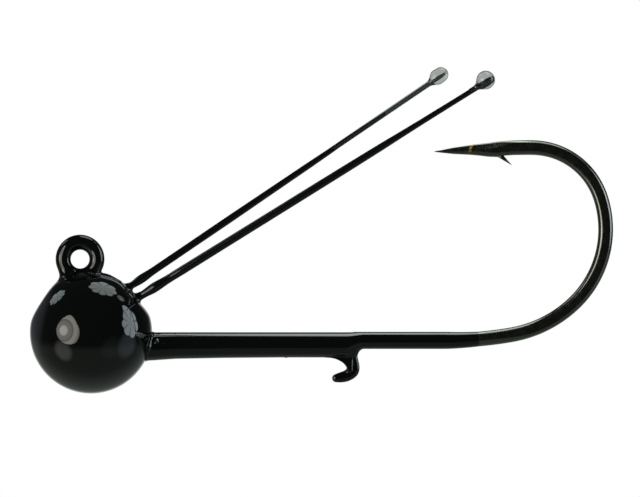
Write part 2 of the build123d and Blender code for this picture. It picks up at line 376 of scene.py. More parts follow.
def sloped(angle):
    """The heading at an angle over the shank's, in the hook's plane."""
    return Vector((cos(angle), 0, sin(angle)))


def ring_place(centre, heading, side, radius):
    """Where a unit ring goes: across its line at a centre, with its first point to the side."""
    place = Matrix((side * radius, heading.cross(side) * radius, heading)).transposed().to_4x4()
    place.translation = centre
    return place


def loft(bm, rows, segments, dies=None):
    """Extrude a ring through rows of (distance, place), and note where on the line each point lies.
    dies(distance) gives the dies that press the ring there, as (side, rise, depth) in radii."""
    layer = bm.verts.layers.float_vector.get("along_wire") or bm.verts.layers.float_vector.new("along_wire")
    verts = bmesh.ops.create_circle(bm, cap_ends=True, segments=segments, radius=1.0, matrix=rows[0][1])["verts"]
    edges = list({edge for vert in verts for edge in vert.link_edges})
    for row, (distance, place) in enumerate(rows):
        if row:
            grown = bmesh.ops.extrude_edge_only(bm, edges=edges)["geom"]
            verts = [part for part in grown if isinstance(part, bmesh.types.BMVert)]
            new = set(verts)
            edges = [e for e in grown if isinstance(e, bmesh.types.BMEdge) and new.issuperset(e.verts)]
            bmesh.ops.transform(bm, matrix=place @ rows[row - 1][1].inverted(), verts=verts)
        size = place.col[0].length
        for vert in verts:
            local = place.inverted() @ vert.co
            vert[layer] = Vector((distance, local.x * size, local.y * size))
    bmesh.ops.edgeloop_fill(bm, edges=edges)
    if dies:
        places = dict(rows)
        for vert in bm.verts:
            press(vert, places.get(round(vert[layer].x, 4)), dies(vert[layer].x))
    bmesh.ops.recalc_face_normals(bm, faces=bm.faces)


DIE_EASE = 0.1  # in radii


def press(vert, place, dies):
    """Push one point back from each die's face, with the edge of the flat eased."""
    if place is None or not dies:
        return
    local = place.inverted() @ vert.co
    for side, rise, depth in dies:
        over = local.x * side + local.y * rise - depth
        push = max(over, 0.0) + max(DIE_EASE - abs(over), 0.0) ** 2 / (4 * DIE_EASE)
        local.x -= side * push
        local.y -= rise * push
    vert.co = place @ local


def softened(values, half, **ends):
    """Values evened out over some of their neighbours to each side."""
    kernel = np.hanning(2 * half + 3)[1:-1]
    return np.convolve(np.pad(values, half, **ends), kernel / kernel.sum(), mode="valid")


def eased(rows, step, reach):
    """A tapering radius read at even steps and evened out over a reach, as (distance, radius)."""
    rows = np.array(rows)
    count = ceil((rows[-1, 0] - rows[0, 0]) / step)
    at = np.linspace(rows[0, 0], rows[-1, 0], count + 1)
    radius = np.interp(at, rows[:, 0], rows[:, 1])
    half = max(1, round(reach / step / 2))
    return list(zip(at, softened(radius, half, mode="reflect", reflect_type="odd")))


# -------- weed guard lines
def guard_line(side):
    """Where a guard's wire leaves the ball, its direction, and the distances to its hinge and its end."""
    hinge = np.array(named(frame["joints"], f"{side}_guard_flex")["pos_m"]) / MM
    half = middle_mm(f"{side}_guard_wire") - hinge
    length = np.linalg.norm(half)
    along = half / length
    out = hinge - BALL_CENTRE
    reach = out @ along
    to_hinge = reach - sqrt(reach**2 - out @ out + BALL_R**2)
    return hinge - along * to_hinge, along, to_hinge, to_hinge + 2 * length


GUARDS = {side: guard_line(side) for side in SIDES}


def guard_rows(side, stations, lift=0.0):
    """Rings along a guard's line for stations of (distance, radius)."""
    out, along, _, _ = GUARDS[side]
    heading = Vector(along)
    level = ACROSS.cross(heading).cross(heading).normalized()
    up = level.cross(heading)
    return [
        (round(at, 4), ring_place(Vector(out + along * at) + up * lift, heading, level, radius))
        for at, radius in stations
    ]


def bend_with_guard(piece):
    """Bake a piece's placement into its mesh. It is left unparented, so it does not follow the guard."""
    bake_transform(piece)


# -------- settings
class JigEnamel(bpy.types.PropertyGroup):
    """Sizes and colours of the enamelled lead."""

    eye_ring_radius: FloatProperty(
        name="Eye ring", description="Centre of the eye to the middle of its wire", default=1.42 * MM, unit="LENGTH"
    )
    eye_wire_radius: FloatProperty(
        name="Eye wire", description="Radius of the eye's wire under its enamel", default=0.637 * MM, unit="LENGTH"
    )
    colour: StringProperty(name="Enamel", description="Body colour, sRGB hex", default="#090B0A")
    roughness: FloatProperty(
        name="Roughness", description="Blur of the enamel's reflections", default=0.045, subtype="FACTOR"
    )


class JigHook(bpy.types.PropertyGroup):
    """Sizes and colours of the hook."""

    wire_radius: FloatProperty(
        name="Wire", description="Radius of the bare wire", default=0.625 * MM, unit="LENGTH"
    )
    forged_half: FloatProperty(
        name="Forged half", description="Half the thickness of the forged bend", default=0.53 * MM, unit="LENGTH"
    )
    colour: StringProperty(name="Plating", description="Black nickel, sRGB hex", default="#6C6E66")
    ring_colour: StringProperty(name="Ring", description="Lacquer ring, sRGB hex", default="#B89A3C")
    roughness: FloatProperty(
        name="Roughness", description="Blur of the plating's reflections", default=0.2, subtype="FACTOR"
    )


class JigGuards(bpy.types.PropertyGroup):
    """Sizes and colours of the weed guards."""

    sleeve_radius: FloatProperty(
        name="Clear sleeve", description="Outer radius of the clear resin run", default=0.24 * MM, unit="LENGTH"
    )
    coat_colour: StringProperty(name="Coat", description="Dipped coating, sRGB hex", default="#0E100F")
    spring_colour: StringProperty(name="Spring", description="Spring steel, sRGB hex", default="#6A6E6C")
    resin_colour: StringProperty(name="Resin", description="Resin tint, sRGB hex", default="#A2A9A5")


class JigStudio(bpy.types.PropertyGroup):
    """Camera and light."""

    view_width: FloatProperty(
        name="View width", description="Width of the view at the jig", default=53.76 * MM, unit="LENGTH"
    )
    camera_distance: FloatProperty(
        name="Camera distance", description="Jig to camera", default=0.65, unit="LENGTH"
    )
    lamp_strength: FloatProperty(
        name="Lamps", description="Share of each umbrella's full radiance", default=1.0, subtype="FACTOR"
    )


# -------- materials
def baked_enamel(settings, name="baked_gloss_enamel"):
    """Baked gloss enamel, dipped and cured on lead. Nearly black and mirror bright, with the long slow
    waves and faint orange peel of a thick cured film, and a few dust nibs."""
    material, tree = new_material(name)
    place = add_node(tree, "TexCoord").outputs["Object"]
    # orange peel is about 0.5 mm across, and the film's sag about 3 mm
    peel = add_node(tree, "TexNoise", inputs={"Vector": place, "Scale": 1 / (0.5 * MM), "Detail": 1.0})
    sag = add_node(tree, "TexNoise", inputs={"Vector": place, "Scale": 1 / (3.0 * MM)})
    # dust under the film shows as nibs about 0.05 mm across and a few millimetres apart
    dust = add_node(tree, "TexVoronoi", inputs={"Vector": place, "Scale": 1 / (1.6 * MM)})
    nib = add_node(tree, "MapRange", SMOOTH, (dust.outputs["Distance"], 0.012, 0.035, 1.0, 0.0))
    sagging = add_node(tree, "Bump", inputs={"Height": sag, "Distance": 0.006 * MM})
    peeled = add_node(tree, "Bump", inputs={"Height": peel, "Distance": 0.0006 * MM, "Normal": sagging})
    nibbed = add_node(tree, "Bump", inputs={"Height": nib, "Distance": 0.01 * MM, "Normal": peeled})
    bloom = add_node(tree, "MapRange", inputs=(sag, 0.3, 0.7, settings.roughness * 0.8, settings.roughness * 1.3))
    looks = {"Base Color": linear(settings.colour), "Roughness": bloom, "IOR": 1.5, "Normal": nibbed}
    return finish_material(material, add_node(tree, "BsdfPrincipled", inputs=looks))


def black_nickel(settings, ring_x, ring_z):
    """Black nickel plate on drawn and forged carbon steel. A dark warm metal: die lines run along the wire,
    and a lacquer ring marks where the point was whetted."""
    material, tree = new_material("black_nickel_plate")
    along = add_node(tree, "Attribute", {"attribute_name": "along_wire"}).outputs["Vector"]
    place = add_node(tree, "TexCoord").outputs["Object"]
    # die lines are 0.03 mm apart and several millimetres long; drawn at 0.08 mm so that they show
    drawn = add_node(tree, "Mapping", inputs={"Vector": along, "Scale": (0.25, 12.0, 12.0)})
    lines = add_node(tree, "TexNoise", inputs={"Vector": drawn, "Scale": 1.0})
    # hammer and plating mottle is about 0.4 mm across
    mottle = add_node(tree, "TexNoise", inputs={"Vector": place, "Scale": 1 / (0.4 * MM), "Detail": 3.0})
    split = add_node(tree, "SeparateXYZ", inputs={"Vector": place})
    lean = add_node(
        tree, "Math", {"operation": "MULTIPLY_ADD"}, (split.outputs["Z"], -RING_LEAN, split.outputs["X"])
    )
    off_ring = add_node(tree, "Math", {"operation": "SUBTRACT"}, (lean, (ring_x - RING_LEAN * ring_z) * MM))
    off_ring = add_node(tree, "Math", {"operation": "ABSOLUTE"}, (off_ring,))
    ring = add_node(tree, "MapRange", SMOOTH, (off_ring, 0.08 * MM, 0.16 * MM, 1.0, 0.0))
    worn = add_node(tree, "MapRange", inputs=(mottle, 0.4, 0.55, 0.35, 1.0))
    ring = add_node(tree, "Math", {"operation": "MULTIPLY"}, (ring, worn))
    shades = {"Factor": mottle, "A": linear(settings.colour, 0.8), "B": linear(settings.colour)}
    shade = add_node(tree, "Mix", {"data_type": "RGBA"}, shades)
    shades = {"Factor": ring, "A": shade.outputs["Result"], "B": linear(settings.ring_colour)}
    tint = add_node(tree, "Mix", {"data_type": "RGBA"}, shades)
    rough = add_node(
        tree, "MapRange", inputs=(mottle, 0.3, 0.7, settings.roughness * 0.8, settings.roughness * 1.25)
    )
    rough = add_node(tree, "Math", {"operation": "MULTIPLY_ADD", "use_clamp": True}, (ring, 0.25, rough))
    scored = add_node(tree, "Bump", inputs={"Height": lines, "Distance": 0.0014 * MM})
    dented = add_node(tree, "Bump", inputs={"Height": mottle, "Distance": 0.001 * MM, "Normal": scored})
    looks = {"Base Color": tint.outputs["Result"], "Metallic": 1.0, "Roughness": rough, "Normal": dented}
    return finish_material(material, add_node(tree, "BsdfPrincipled", inputs=looks))


def dipped_coat(settings):
    """Dipped black lacquer on spring wire. Softer than the enamel: slow thick and thin runs along the wire
    and a slightly blurred gloss."""
    material, tree = new_material("dipped_black_lacquer")
    along = add_node(tree, "Attribute", {"attribute_name": "along_wire"}).outputs["Vector"]
    # runs are about 1.5 mm long and 0.3 mm wide
    runs = add_node(tree, "Mapping", inputs={"Vector": along, "Scale": (1 / 1.5, 1 / 0.3, 1 / 0.3)})
    sag = add_node(tree, "TexNoise", inputs={"Vector": runs, "Scale": 1.0})
    rough = add_node(tree, "MapRange", inputs=(sag, 0.3, 0.7, 0.06, 0.1))
    waved = add_node(tree, "Bump", inputs={"Height": sag, "Distance": 0.004 * MM})
    looks = {"Base Color": linear(settings.coat_colour), "Roughness": rough, "IOR": 1.49, "Normal": waved}
    return finish_material(material, add_node(tree, "BsdfPrincipled", inputs=looks))


def spring_steel(settings):
    """Hard-drawn stainless spring wire. Grey metal with a fine drawn grain."""
    material, tree = new_material("hard_drawn_spring_steel")
    place = add_node(tree, "TexCoord").outputs["Object"]
    # drawing leaves grain about 0.02 mm across, drawn at 0.05 mm so that it shows
    grain = add_node(tree, "TexNoise", inputs={"Vector": place, "Scale": 1 / (0.05 * MM)})
    shades = {"Factor": grain, "A": linear(settings.spring_colour, 0.6), "B": linear(settings.spring_colour)}
    shade = add_node(tree, "Mix", {"data_type": "RGBA"}, shades)
    scored = add_node(tree, "Bump", inputs={"Height": grain, "Distance": 0.001 * MM})
    looks = {"Base Color": shade.outputs["Result"], "Metallic": 1.0, "Roughness": 0.25, "Normal": scored}
    return finish_material(material, add_node(tree, "BsdfPrincipled", inputs=looks))


def cured_resin(settings):
    """Clear cured resin, dripped and set as a bead. Water bright with a grey-green cast, a glossy skin and
    a slight waviness from shrinking."""
    material, tree = new_material("clear_cured_resin")
    place = add_node(tree, "TexCoord").outputs["Object"]
    # shrinkage waves are about 0.6 mm across
    wave = add_node(tree, "TexNoise", inputs={"Vector": place, "Scale": 1 / (0.6 * MM), "Detail": 1.0})
    waved = add_node(tree, "Bump", inputs={"Height": wave, "Distance": 0.008 * MM})
    looks = {
        "Base Color": linear(settings.resin_colour), "Roughness": 0.07,
        "IOR": 1.49, "Transmission Weight": 1.0, "Normal": waved,
    }
    return finish_material(material, add_node(tree, "BsdfPrincipled", inputs=looks))


# -------- skins of the enamelled lead
def head_skin(settings):
    """The ball with its flats, fin and guard roots, and the eye, all under one film of enamel."""
    ring_r, wire_r = settings.eye_ring_radius / MM, settings.eye_wire_radius / MM

    def skin(p):
        off = p - BALL_CENTRE
        shape = np.linalg.norm(off, axis=1) - BALL_R
        for angle, depth in FLATS:
            flat = off[:, 0] * cos(radians(angle)) + off[:, 2] * sin(radians(angle)) - depth
            shape = trim(shape, flat, FLAT_EDGE)
        around = np.degrees(np.arctan2(off[:, 2], off[:, 0]))
        rim = np.hypot(off[:, 0], off[:, 2]) - np.interp(around, *FIN, left=FIN_FOOT, right=FIN_FOOT)
        fin = trim(np.abs(off[:, 1]) - FIN_HALF, rim, FIN_FILLETS[0])
        shape = join(shape, fin, FIN_FILLETS[1])
        for side in SIDES:
            out, along, _, _ = GUARDS[side]
            root_r = COATS[side][1][1] - 0.02
            root = bar(p, out - along * ROOT_REACH[0], out + along * ROOT_REACH[1], ROOT_FLARE, root_r)
            shape = join(shape, root, ROOT_FILLET)
        ring = np.hypot(np.hypot(p[:, 0], p[:, 2]) - ring_r, p[:, 1]) - wire_r
        return join(shape, ring, np.interp(p[:, 0], *EYE_FILLET))

    return skin


SPINE = curve_through(KEEPER)


def web_edge(x):
    """Height of the web's hollow at an X."""
    across = np.clip((x - WEB_CENTRE[0]) / WEB_REACH[0], -1, 1)
    return WEB_CENTRE[1] + WEB_REACH[1] * np.sqrt(1 - across**2)


def collar_skin(p):
    """The bait collar with its prong, its flare against the ball, and the sags of its enamel."""
    x, y, z = p.T
    droop = np.interp(x, *DROOP)
    radius = COLLAR_R + droop
    taper = np.interp(x, COLLAR_TAPER, (0.0, 1.0))
    taper = taper * taper * (3 - 2 * taper)
    radius = radius + (ENAMEL_R - 0.006 - radius) * taper
    axis = COLLAR_Z - droop + (SHANK_Z - COLLAR_Z + droop) * taper
    tube = np.hypot(y, z - axis) - radius
    tube = trim(tube, np.maximum(COLLAR_SPAN[0] - x, x - COLLAR_SPAN[1]), 0.05)
    prong = None
    for (x0, z0, r0), (x1, z1, r1) in zip(SPINE, SPINE[1:]):
        part = bar(p, (x0, 0, z0), (x1, 0, z1), r0, r1)
        prong = part if prong is None else np.minimum(prong, part)
    prong = trim(prong, np.abs(y) - KEEPER_HALF, PRONG_ROUNDING)
    across, down = (x - WEB_CENTRE[0]) / WEB_REACH[0], (z - WEB_CENTRE[1]) / WEB_REACH[1]
    hollow = (1 - np.hypot(across, down)) * min(WEB_REACH)
    web = np.maximum.reduce(
        [hollow, WEB_CENTRE[0] - x, x - KEEPER[0][0], WEB_CENTRE[1] - z, z - COLLAR_Z, np.abs(y) - WEB_HALF]
    )
    shape = join(join(tube, prong, PRONG_FILLET), web, WEB_FILLET)
    # a pit and a nib in the film
    shape = trim(shape, PIT_R - np.linalg.norm(p - PIT, axis=1), 0.05)
    shape = join(shape, np.linalg.norm(p - NIB, axis=1) - NIB_R, FILM_FILLET)
    # the bead of enamel where the collar meets the ball
    ball = np.linalg.norm(p - BALL_CENTRE, axis=1) - BALL_R
    bead = np.hypot(tube - 0.02, ball - 0.02) - BEAD_R - 0.05 * np.sin(6.0 * np.arctan2(z - axis, y) + 1.2) ** 3
    shape = join(shape, bead, BEAD_FILLET)
    return join(shape, np.linalg.norm(p - DRIP, axis=1) - DRIP_R, FILM_FILLET)


# -------- operators
class JIG_OT_head(bpy.types.Operator):
    """Enamelled ball and line-tie eye"""

    bl_idname = "jig.head"
    bl_label = "Ball and eye"

    def execute(self, context):
        settings = context.scene.jig_enamel
        bm = bmesh.new()
        at = Matrix.Translation(Vector(BALL_CENTRE))
        bmesh.ops.create_uvsphere(bm, u_segments=96, v_segments=64, radius=BALL_R, matrix=at)
        ring_r, wire_r = settings.eye_ring_radius / MM, settings.eye_wire_radius / MM
        turn = Matrix.Translation((ring_r, 0, 0))
        section = bmesh.ops.create_circle(bm, segments=24, radius=wire_r, matrix=turn)["verts"]
        edges = list({edge for vert in section for edge in vert.link_edges})
        bmesh.ops.spin(
            bm, geom=section + edges, cent=(0, 0, 0), axis=(0, 1, 0), angle=2 * pi, steps=64, use_merge=True
        )
        for out, along, _, _ in GUARDS.values():
            root = Matrix.Translation(Vector(out - along * 0.5)) @ facing(along)
            bmesh.ops.create_cone(bm, cap_ends=True, segments=24, radius1=0.5, radius2=0.3, depth=1.4, matrix=root)
        bmesh.ops.recalc_face_normals(bm, faces=bm.faces)
        mesh = skin_mesh(bm, "ball_and_eye", head_skin(settings), HEAD_VOXEL)
        piece = new_piece(mesh, "ball_and_eye", baked_enamel(settings))
        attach(piece, "root")
        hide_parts("ball_head")
        return {"FINISHED"}


class JIG_OT_collar(bpy.types.Operator):
    """Enamelled bait collar with its keeper"""

    bl_idname = "jig.collar"
    bl_label = "Collar and keeper"

    def execute(self, context):
        settings = context.scene.jig_enamel
        bm = bmesh.new()
        stations = ((COLLAR_SPAN[0], COLLAR_Z, COLLAR_R), (22.6, COLLAR_Z, COLLAR_R))
        stations += ((23.8, SHANK_Z, ENAMEL_R), (COLLAR_SPAN[1], SHANK_Z, ENAMEL_R))
        rows = [(x, ring_place(Vector((x, 0, z)), sloped(0), ACROSS, radius)) for x, z, radius in stations]
        loft(bm, rows, 32)
        for x, z, radius in SPINE:
            bmesh.ops.create_icosphere(bm, subdivisions=3, radius=radius, matrix=Matrix.Translation((x, 0, z)))
        for x in np.arange(WEB_CENTRE[0], KEEPER[0][0], 0.2):
            top, bottom = COLLAR_Z, web_edge(x) + 0.05
            size = Matrix.Diagonal((0.3, WEB_HALF * 2, top - bottom, 1))
            place = Matrix.Translation((x, 0, (top + bottom) / 2))
            bmesh.ops.create_cube(bm, size=1.0, matrix=place @ size)
        bmesh.ops.recalc_face_normals(bm, faces=bm.faces)
        mesh = skin_mesh(bm, "collar_and_keeper", collar_skin, VOXEL, passes=4)
        piece = new_piece(mesh, "collar_and_keeper", baked_enamel(settings, "baked_gloss_enamel_collar"))
        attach(piece, "root")
        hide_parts("bait_collar")
        return {"FINISHED"}


class JIG_OT_hook(bpy.types.Operator):
    """Plated hook, and the enamel that runs out along its shank"""

    bl_idname = "jig.hook"
    bl_label = "Hook"

    def execute(self, context):
        settings = context.scene.jig_hook
        path = hook_path()
        wire_r = settings.wire_radius / MM
        tip = path[-1][1]
        length = path[-1][0]
        shape = np.array(POINT_SHAPE)
        rows = []
        for distance, centre, angle in path:
            back = length - distance
            drop, high, wide = (np.interp(back, shape[:, 0], shape[:, i]) for i in (1, 2, 3))
            if back > shape[-1, 0]:
                high = wide = wire_r
            place = ring_place(centre - Vector((0, 0, drop)), sloped(angle), ACROSS, 1.0)
            rows.append((round(distance, 4), place @ Matrix.Diagonal((wide, high, 1, 1))))
        dies_x = max(centre.x for _, centre, _ in path) - FORGED_FROM
        start = next(distance for distance, centre, _ in path if centre.x > dies_x)
        flat = settings.forged_half / settings.wire_radius

        def dies(distance):
            back = length - distance
            forged = clamped((distance - start) / FORGED_EASE) * clamped((back - FORGED_EASE) / FORGED_EASE)
            whetted = clamped((WHETTED[0] - back) / WHETTED[1])
            faces = []
            if forged > 0:
                depth = NO_PRESS + (flat - NO_PRESS) * forged
                faces += [(-1, 0, depth), (1, 0, depth)]
            if whetted > 0:
                depth = NO_PRESS - 0.25 * whetted
                faces += [(way * WHETTED_WAY[0], -WHETTED_WAY[1], depth) for way in (-1, 1)]
            return faces

        bm = bmesh.new()
        loft(bm, rows, 40, dies)
        limb_z = tip.z
        root = Vector((tip.x + BARB_ROOT[0], 0, limb_z - BARB_ROOT[1]))
        point = Vector((tip.x + BARB_TIP[0], 0, limb_z - BARB_TIP[1]))
        run = point - root
        made = bmesh.ops.create_cone(
            bm, cap_ends=True, segments=20, radius1=BARB_ROOT[2], radius2=0.015, depth=run.length,
            matrix=Matrix.Translation((root + point) / 2) @ facing(run)
        )["verts"]
        bmesh.ops.scale(bm, vec=(1, BARB_THIN, 1), verts=made)
        mesh = mesh_from(bm, "hook_wire")
        ring_x, ring_drop = PLATING_RING
        material = black_nickel(settings, tip.x + ring_x, limb_z - ring_drop)
        piece = new_piece(mesh, "hook_wire", material)
        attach(piece, "root")
        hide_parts("hook")

        # enamel on the shank, thinning to nothing where the bend starts
        enamel = context.scene.jig_enamel
        bm = bmesh.new()
        rows = []
        for distance, centre, angle in path:
            x = centre.x
            if x < ENAMEL_START - ENAMEL_LAP:
                continue
            if x > ENAMEL_END:
                break
            fade = clamped((x - BEND_START) / (ENAMEL_END - BEND_START))
            film = (ENAMEL_R - wire_r) * (1 - fade) ** 0.8 - 0.02 * fade
            rows.append((round(distance, 4), ring_place(centre, sloped(angle), ACROSS, wire_r + film)))
        loft(bm, rows, 40)
        mesh = mesh_from(bm, "shank_coat")
        piece = new_piece(mesh, "shank_coat", baked_enamel(enamel, "baked_gloss_enamel_shank"))
        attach(piece, "root")
        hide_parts("shank_enamel")
        return {"FINISHED"}


def hook_path():
    """The wire's line as rows of (distance, centre, heading in radians), with each arc eased into the next."""
    runs = [(BEND_START - HOOK_START, 0.0)]
    runs += [(radius * radians(turn), 1 / radius) for radius, turn in BEND]
    runs += [(LIMB + POINT, 0.0)]
    ends = np.cumsum([run[0] for run in runs])
    count = ceil(ends[-1] / WIRE_STEP)
    step = ends[-1] / count
    middles = (np.arange(count) + 0.5) * step
    turning = np.array([run[1] for run in runs])[np.searchsorted(ends, middles)]
    turning = softened(turning, round(BEND_EASE / step / 2), mode="edge")
    turning *= pi / (turning.sum() * step)
    rows = [(0.0, Vector((HOOK_START, 0, SHANK_Z)), 0.0)]
    for bend in turning:
        distance, centre, angle = rows[-1]
        middle = angle + bend * step / 2
        rows.append((distance + step, centre + sloped(middle) * step, angle + bend * step))
    return rows


class JIG_OT_guards(bpy.types.Operator):
    """Spring wires of the weed guards and their dipped coats"""

    bl_idname = "jig.guards"
    bl_label = "Weed guards"

    def execute(self, context):
        settings = context.scene.jig_guards
        coat, spring = dipped_coat(settings), spring_steel(settings)
        for side in SIDES:
            bm = bmesh.new()
            stations = eased(COATS[side], 0.2, 0.5)
            loft(bm, guard_rows(side, stations, COAT_LOW[side]), 28)
            piece = new_piece(mesh_from(bm, f"{side}_guard_coat"), f"{side}_guard_coat", coat)
            bend_with_guard(piece)
            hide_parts(f"{side}_guard_sleeve", f"{side}_guard_sleeve_root")

            bm = bmesh.new()
            to_end = GUARDS[side][3]
            stations = eased(((-1.0, SPRING_R), (to_end - 0.05, SPRING_R), (to_end, SPRING_R * 0.6)), 0.5, 0.4)
            loft(bm, guard_rows(side, stations, -SPRING_LOW), 20)
            piece = new_piece(mesh_from(bm, f"{side}_guard_spring"), f"{side}_guard_spring", spring)
            bend_with_guard(piece)
            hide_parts(f"{side}_guard_wire")
        # the hairpin inside the ball keeps its CAD shape
        anchor = frame["nodes"]["guard_wire_anchor"]
        anchor.data.materials.clear()
        anchor.data.materials.append(spring)
        return {"FINISHED"}


class JIG_OT_drops(bpy.types.Operator):
    """Clear resin drops on the guards' ends"""

    bl_idname = "jig.drops"
    bl_label = "Resin drops"

    def execute(self, context):
        settings = context.scene.jig_guards
        resin = cured_resin(settings)
        for side, (radius, stretch, back, tail_r) in DROPS.items():
            tail_r = tail_r or settings.sleeve_radius / MM
            out, along, _, to_end = GUARDS[side]
            high = box_mm(f"{side}_guard_tip")[1]
            centre = high - np.array((radius + stretch * 0.8, 0, radius + stretch * 0.5)) * np.array((1, 0, 1))
            centre[1] = (out + along * to_end)[1]
            start, end = (out + along * (to_end - WIRE_IN_DROP - reach) for reach in (back, 0))
            bead_run = centre - along * stretch, centre + along * stretch, radius, radius * 0.97
            tail_run = start, end, tail_r - 0.014, tail_r

            def skin(p, bead_run=bead_run, tail_run=tail_run):
                bead, tail = bar(p, *bead_run), bar(p, *tail_run)
                return join(bead, tail, DROP_FILLET)

            bm = bmesh.new()
            bmesh.ops.create_icosphere(bm, subdivisions=4, radius=radius, matrix=Matrix.Translation(Vector(centre)))
            bmesh.ops.create_cone(
                bm, cap_ends=True, segments=24, radius1=tail_r, radius2=tail_r,
                depth=float(np.linalg.norm(end - start)),
                matrix=Matrix.Translation(Vector((start + end) / 2)) @ facing(along)
            )
            mesh = skin_mesh(bm, f"{side}_guard_drop", skin, VOXEL)
            piece = new_piece(mesh, f"{side}_guard_drop", resin)
            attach(piece, f"{side}_guard")
            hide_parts(f"{side}_guard_tip")
        return {"FINISHED"}


# -------- studio
# outlines as reach at every 30 degrees from the lamp's own X
ROUND = (1.0,) * 12
TEARDROP = (0.84, 0.8, 0.94, 1.2, 0.72, 0.7, 0.84, 0.95, 0.98, 1.02, 0.98, 0.9)
LEANING = (0.94, 0.8, 0.86, 1.05, 0.92, 0.9, 0.98, 1.0, 1.02, 1.08, 1.2, 1.08)
# lamps as: direction from the jig, half angle in degrees, outline, ribs, radiance, colour
UMBRELLAS = {
    "top": ((0.258, 0.141, 0.956), 18.0, ROUND, 8, 3.2, "#DDEBE9"),
    "right": ((0.93, -0.1, 0.25), 22.5, TEARDROP, 7, 4.3, "#E0EFF2"),
    "upper_right": ((0.652, 0.115, 0.749), 5.5, ROUND, 0, 3.0, "#E6EAE6"),
    "upper_left": ((-0.672, 0.268, 0.691), 11.5, ROUND, 8, 2.8, "#D8ECE8"),
    "front_left": ((-0.682, -0.726, 0.104), 24.0, LEANING, 0, 7.5, "#F6F4EA"),
}
# the front lamp's rings round its off-centre bulb, as (share of its radius, share of its radiance)
BULB_AT = (-0.33, -0.09)
BULB_RINGS = (
    (0.0, 1.0), (0.28, 0.95), (0.4, 0.44), (0.62, 0.42), (0.74, 0.27), (0.84, 0.62), (1.05, 0.6), (1.3, 0.33),
)
LAMP_DISTANCE = 0.6
DOME_R = 1.3
RESIN_SIDE_LEVEL = 0.26  # of what the resin sees to the jig's sides
FLOOR_DROP, FLOOR_HALF = 0.02, 0.6
AIM = (-0.13, 0.0, -1.575)  # the camera's aim from the jig's middle, in millimetres

# the strip light, in millimetres
STRIP_X = 22.5
STRIP_TOWARD = (0.0, 0.267, 0.964)
STRIP_DISTANCE = 79.0
STRIP_HALF = (17.0, 26.0)
STRIP_RADIANCE = 3.6
STRIP_COLOUR = "#E6F0EC"

# what the jig mirrors of the dim room, as: colour, radiance, direction, and the cosines where it starts and is full
ROOM = (
    ("#E6F6E6", 0.17, (0.0, 0.22, -1.0), 0.17, 0.42),  # the table below
    ("#EAF6EE", 0.14, (0.0, 0.78, -0.62), 0.45, 0.95),  # the table behind
    ("#FFFFFF", 0.42, (0.0, 1.0, 0.0), 0.86, 0.98),  # the wall behind
    ("#E2EEFF", 0.17, (-0.78, 0.6, 0.15), 0.86, 0.98),  # the wall behind, to the left
    ("#FFFFF4", 0.7, (-0.75, -0.42, -0.5), 0.93, 0.985),  # the table in front, to the left
    ("#EAF0FF", 0.1, (0.62, -0.62, -0.46), 0.9, 0.985),  # the table in front, to the right
    ("#E2F0FF", 0.42, (0.93, -0.18, -0.32), 0.91, 0.99),  # the table beyond the shank
    ("#F4F6FF", 0.03, (0.0, 0.0, 1.0), -2.0, -1.5),  # the ceiling's faint light from all round
)


def stage_mesh(bm, name, material):
    """Put a mesh of the stage, already in metres, into the scene."""
    mesh = bpy.data.meshes.new(name)
    bm.to_mesh(mesh)
    bm.free()
    mesh.materials.append(material)
    piece = put(name, mesh)
    return piece


def add_umbrella(name, direction, half_angle, outline, ribs, radiance, colour):
    """A lit umbrella that faces the jig: scalloped between its ribs and darker along them, or with no ribs, in
    rings round an off-centre bulb.
    """
    bm = bmesh.new()
    size = LAMP_DISTANCE * tan(radians(half_angle))
    rim = bmesh.ops.create_circle(bm, cap_ends=True, cap_tris=True, segments=120, radius=size)["verts"]
    for vert in rim:
        if vert.co.length > size / 2:
            turn = np.degrees(np.arctan2(vert.co.y, vert.co.x))
            vert.co *= np.interp(turn, range(0, 360, 30), outline, period=360)
            if ribs:
                vert.co *= 1 - 0.13 * abs(cos(ribs * radians(turn) / 2)) ** 3
    material, tree = new_material(f"lit_umbrella_{name}")
    place = add_node(tree, "TexCoord").outputs["Object"]
    if ribs:
        split = add_node(tree, "SeparateXYZ", inputs={"Vector": place})
        turn = add_node(tree, "Math", {"operation": "ARCTAN2"}, (split.outputs["Y"], split.outputs["X"]))
        turn = add_node(tree, "Math", {"operation": "MULTIPLY"}, (turn, ribs / 2))
        wave = add_node(tree, "Math", {"operation": "COSINE"}, (turn,))
        wave = add_node(tree, "Math", {"operation": "ABSOLUTE"}, (wave,))
        shade = add_node(tree, "MapRange", SMOOTH, (wave, 0.9, 1.0, 1.0, 0.55))
    else:
        off_bulb = add_node(
            tree, "VectorMath", {"operation": "DISTANCE"}, (place, (BULB_AT[0] * size, BULB_AT[1] * size, 0.0))
        )
        share = add_node(
            tree, "Math", {"operation": "DIVIDE"}, (off_bulb.outputs["Value"], size * BULB_RINGS[-1][0])
        )
        shade = add_node(tree, "ValToRGB", inputs={"Fac": share})
        shade.color_ramp.interpolation = "EASE"
        for at, _ in BULB_RINGS[1:-1]:
            shade.color_ramp.elements.new(at / BULB_RINGS[-1][0])
        for stop, (_, bright) in zip(shade.color_ramp.elements, BULB_RINGS):
            stop.color = (bright, bright, bright, 1.0)
    level = add_node(tree, "Math", {"operation": "MULTIPLY"}, (shade, radiance))
    glow = add_node(tree, "Emission", inputs={"Color": linear(colour), "Strength": level})
    finish_material(material, glow)
    lamp = stage_mesh(bm, f"umbrella_{name}", material)
    toward = Vector(direction).normalized()
    jig = Vector(BALL_CENTRE) * MM
    lamp.matrix_world = Matrix.Translation(jig + toward * LAMP_DISTANCE) @ facing(toward)
    lamp.visible_camera = False
    lamp.visible_shadow = False


